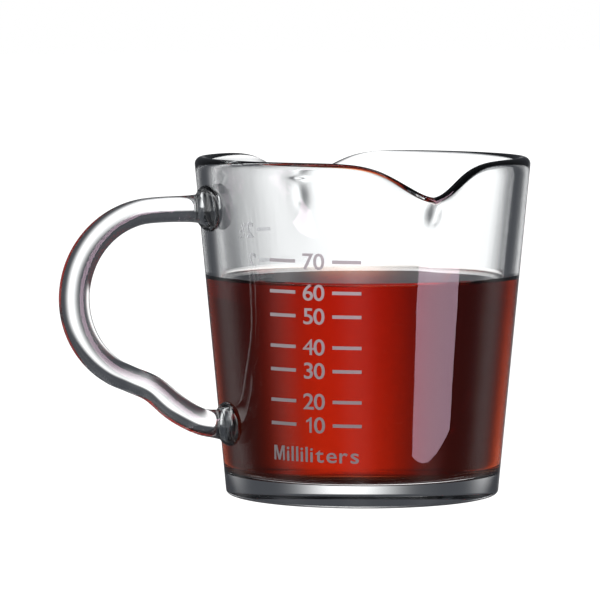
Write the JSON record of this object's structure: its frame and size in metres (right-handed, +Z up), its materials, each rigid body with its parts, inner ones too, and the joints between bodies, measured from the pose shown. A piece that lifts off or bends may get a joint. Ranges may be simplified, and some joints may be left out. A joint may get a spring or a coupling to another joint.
{
  "type": "double-spout measuring glass",
  "caption": "Small tapered clear-glass measuring jug with two pressed pouring spouts, a fused loop handle and printed volume scales.",
  "frame": {"origin": "centre of the flat underside, on the cup's axis", "axes": "+Z up along the cup's axis, -X towards the handle, -Y and +Y towards the two spouts"},
  "size_m": [0.0883, 0.0654, 0.0611],
  "materials": {
    "glass_body": "clear polished glass",
    "glass_handle": "clear fire-polished glass rod",
    "glass_welds": "clear fire-polished glass",
    "scale_print": "grey fired-on enamel print"
  },
  "bodies": {
    "root": {"cup_body": "glass_body", "handle_rod": "glass_handle", "ml_10_tens": "scale_print", "ml_10_tick_left": "scale_print", "ml_10_tick_right": "scale_print", "ml_10_units": "scale_print", "ml_20_tens": "scale_print", "ml_20_tick_left": "scale_print", "ml_20_tick_right": "scale_print", "ml_20_units": "scale_print", "ml_30_tens": "scale_print", "ml_30_tick_left": "scale_print", "ml_30_tick_right": "scale_print", "ml_30_units": "scale_print", "ml_40_tens": "scale_print", "ml_40_tick_left": "scale_print", "ml_40_tick_right": "scale_print", "ml_40_units": "scale_print", "ml_50_tens": "scale_print", "ml_50_tick_left": "scale_print", "ml_50_tick_right": "scale_print", "ml_50_units": "scale_print", "ml_60_tens": "scale_print", "ml_60_tick_left": "scale_print", "ml_60_tick_right": "scale_print", "ml_60_units": "scale_print", "ml_70_tens": "scale_print", "ml_70_tick_left": "scale_print", "ml_70_tick_right": "scale_print", "ml_70_units": "scale_print", "ml_word_01_M": "scale_print", "ml_word_02_i": "scale_print", "ml_word_02_i_dot": "scale_print", "ml_word_03_l": "scale_print", "ml_word_04_l": "scale_print", "ml_word_05_i": "scale_print", "ml_word_05_i_dot": "scale_print", "ml_word_06_l": "scale_print", "ml_word_07_i": "scale_print", "ml_word_07_i_dot": "scale_print", "ml_word_08_t": "scale_print", "ml_word_09_e": "scale_print", "ml_word_10_r": "scale_print", "ml_word_11_s": "scale_print", "oz_1_half_tick": "scale_print", "oz_1_number": "scale_print", "oz_1_tick": "scale_print", "oz_2_half_number": "scale_print", "oz_2_half_number_bar": "scale_print", "oz_2_half_number_one": "scale_print", "oz_2_half_number_two": "scale_print", "oz_2_half_tick": "scale_print", "oz_2_number": "scale_print", "oz_2_tick": "scale_print", "oz_half_tick": "scale_print", "weld_lower": "glass_welds", "weld_upper": "glass_welds"}
  },
  "joints": []
}
